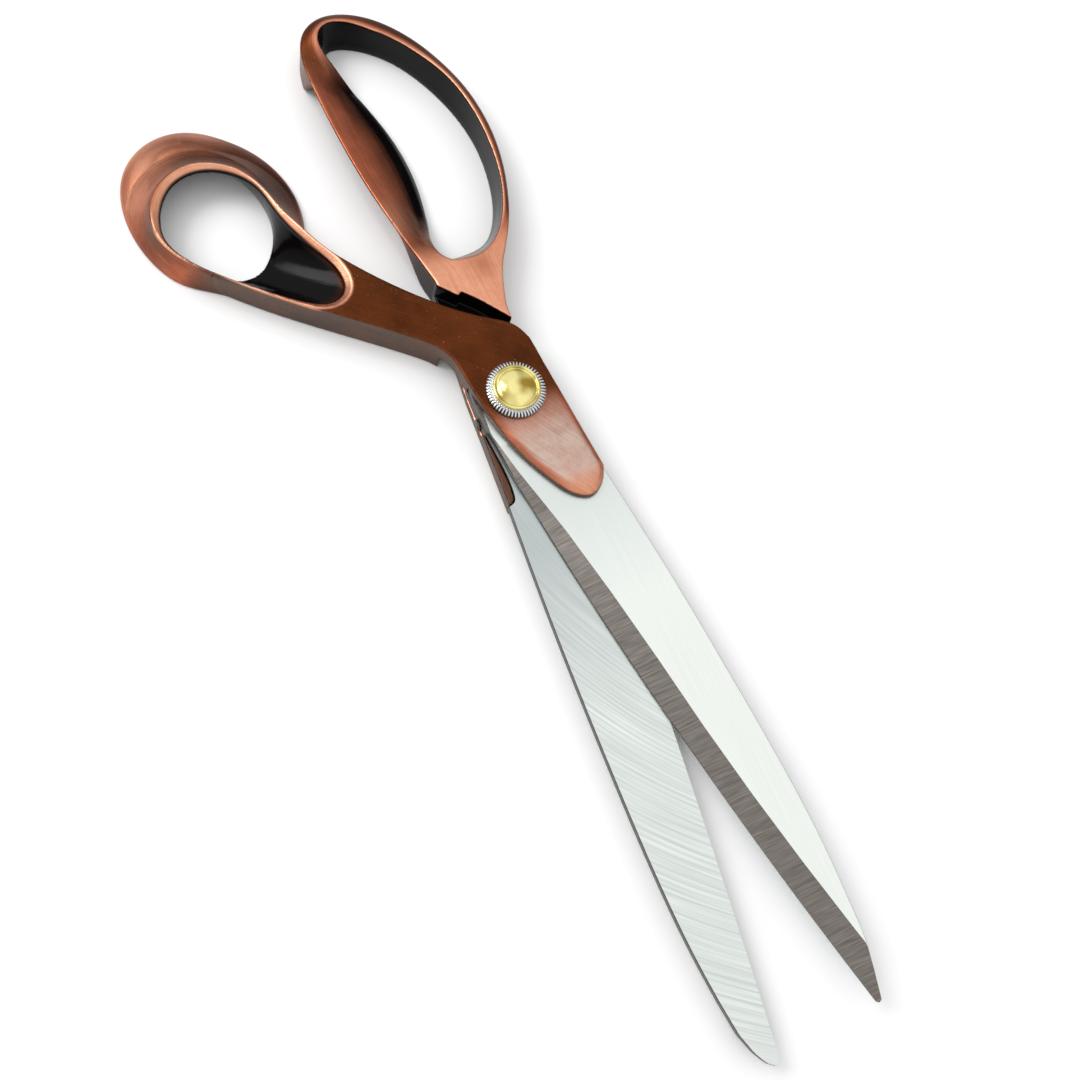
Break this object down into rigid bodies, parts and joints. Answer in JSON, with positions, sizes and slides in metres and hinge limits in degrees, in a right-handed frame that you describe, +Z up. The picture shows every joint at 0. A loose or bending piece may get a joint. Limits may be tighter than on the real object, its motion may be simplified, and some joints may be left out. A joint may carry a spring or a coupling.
{
  "type": "fabric shears",
  "caption": "Bent tailor's shears with long steel blades, copper-plated cast handles, an oval finger bow, a slanted thumb ring and a toothed tension wheel with a brass cap.",
  "frame": {"origin": "on the pivot axis, at the flat underside of the bolt head that the shears rest on", "axes": "+X towards the blade tips, halfway between the two blades as they lie; +Z up, from the finger half to the thumb half; +Y by the right-hand rule, so the thumb ring is on the -Y side"},
  "size_m": [0.3054, 0.1044, 0.0145],
  "materials": {
    "copper_plating": "brushed antique copper plating over a zinc die-casting, black in the hollows",
    "blade_steel": "satin ground stainless steel",
    "pivot_steel": "bright nickel-plated steel",
    "cap_brass": "polished brass"
  },
  "bodies": {
    "finger_half": {"finger_handle": "copper_plating", "finger_blade": "blade_steel", "pivot_bolt": "pivot_steel"},
    "thumb_half": {"thumb_handle": "copper_plating", "thumb_blade": "blade_steel", "spring_washer": "pivot_steel"},
    "tension_wheel": {"tension_nut": "pivot_steel", "nut_cap": "cap_brass"}
  },
  "joints": [
    {"name": "blade_pivot", "type": "hinge", "parent": "finger_half", "child": "thumb_half", "pos_m": [0, 0, 0.0055], "axis": [0, 0, 1], "range_deg": [-8.9, 100]},
    {"name": "tension_turn", "type": "hinge", "parent": "finger_half", "child": "tension_wheel", "pos_m": [0, 0, 0.0119], "axis": [0, 0, 1], "range_deg": [-180, 180]}
  ]
}
